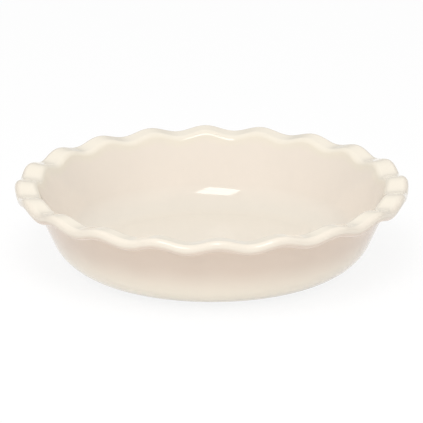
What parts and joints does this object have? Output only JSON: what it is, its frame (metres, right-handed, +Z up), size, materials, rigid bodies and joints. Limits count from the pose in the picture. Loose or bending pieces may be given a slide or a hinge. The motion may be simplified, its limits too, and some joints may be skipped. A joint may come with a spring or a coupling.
{
  "type": "baking dish",
  "caption": "Round glazed stoneware baking dish with a flat floor, a wall that leans out and a rim that rises a little toward its edge and runs in even waves.",
  "frame": {"origin": "centre of the circle that the foot ring stands on, on the standing plane", "axes": "+Z up along the dish's axis; +X through a crest of the rim's wave"},
  "size_m": [0.2664, 0.2664, 0.0588],
  "materials": {
    "bare_stoneware": "matt fired clay, bare on the foot ring",
    "glaze_inside": "glossy cream glaze, even and smooth, a shade deeper on the floor",
    "glaze_outside": "glossy warm cream glaze, paler toward the foot"
  },
  "bodies": {
    "root": {"stoneware_body": "bare_stoneware", "inside_glaze": "glaze_inside", "outside_glaze": "glaze_outside", "base_glaze": "glaze_outside"}
  },
  "joints": []
}
